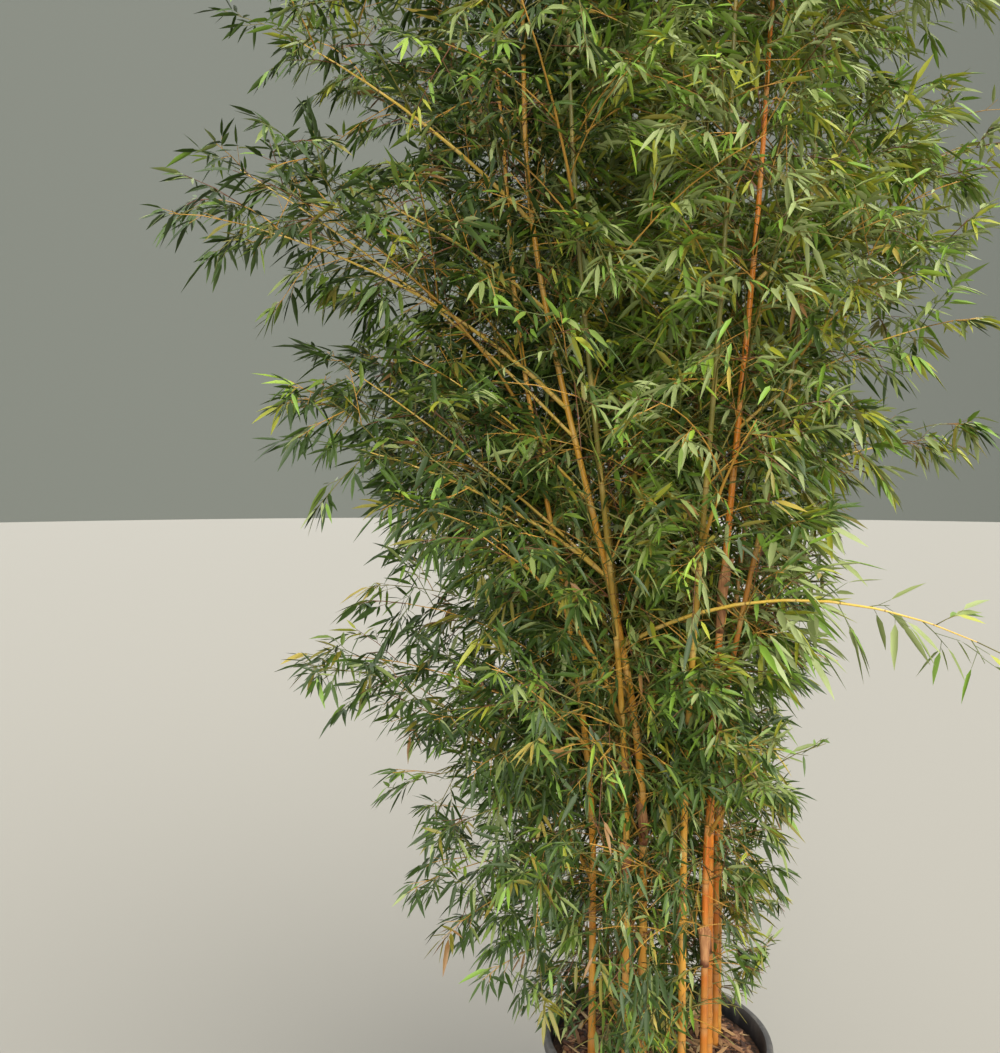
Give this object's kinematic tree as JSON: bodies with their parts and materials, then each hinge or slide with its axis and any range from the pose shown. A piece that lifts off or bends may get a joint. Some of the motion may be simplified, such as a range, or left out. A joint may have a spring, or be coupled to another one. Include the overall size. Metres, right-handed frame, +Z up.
{
  "type": "potted bamboo",
  "caption": "Tall clump of golden-caned bamboo with arching leafy boughs, growing in bark-topped mix in a round black nursery tub.",
  "frame": {"origin": "centre of the tub's flat underside", "axes": "+Z up along the clump, -Y towards the side with the six canes that stand clear of the leaves, +X to its right"},
  "size_m": [1.9521, 1.7368, 3.9995],
  "materials": {
    "tub": "satin",
    "mix": "matte",
    "cane": "satin",
    "bough": "satin",
    "foliage": "satin"
  },
  "bodies": {
    "root": {"bough_left_high": "bough", "bough_left_low": "bough", "bough_left_top": "bough", "bough_right_arching": "bough", "bough_right_high": "bough", "bough_right_middle": "bough", "cane_01": "cane", "cane_02": "cane", "cane_03": "cane", "cane_04": "cane", "cane_05": "cane", "cane_06": "cane", "cane_07": "cane", "cane_08": "cane", "cane_09": "cane", "cane_10": "cane", "cane_11": "cane", "cane_12": "cane", "cane_13": "cane", "cane_14": "cane", "foliage_left_high": "foliage", "foliage_left_low": "foliage", "foliage_left_top": "foliage", "foliage_right_arching": "foliage", "foliage_right_high": "foliage", "foliage_right_middle": "foliage", "foliage_side_01": "foliage", "foliage_side_02": "foliage", "foliage_side_03": "foliage", "foliage_side_04": "foliage", "foliage_side_05": "foliage", "foliage_side_06": "foliage", "foliage_side_07": "foliage", "foliage_side_08": "foliage", "foliage_side_09": "foliage", "foliage_side_10": "foliage", "foliage_side_11": "foliage", "foliage_side_12": "foliage", "foliage_side_13": "foliage", "foliage_side_14": "foliage", "foliage_side_15": "foliage", "foliage_side_16": "foliage", "foliage_side_17": "foliage", "foliage_side_18": "foliage", "foliage_top_01": "foliage", "foliage_top_02": "foliage", "foliage_top_03": "foliage", "foliage_top_04": "foliage", "foliage_top_05": "foliage", "foliage_top_06": "foliage", "foliage_top_07": "foliage", "foliage_top_08": "foliage", "foliage_top_09": "foliage", "foliage_top_10": "foliage", "foliage_top_11": "foliage", "foliage_top_12": "foliage", "foliage_top_13": "foliage", "foliage_top_14": "foliage", "potting_mix": "mix", "tub": "tub"}
  },
  "joints": []
}
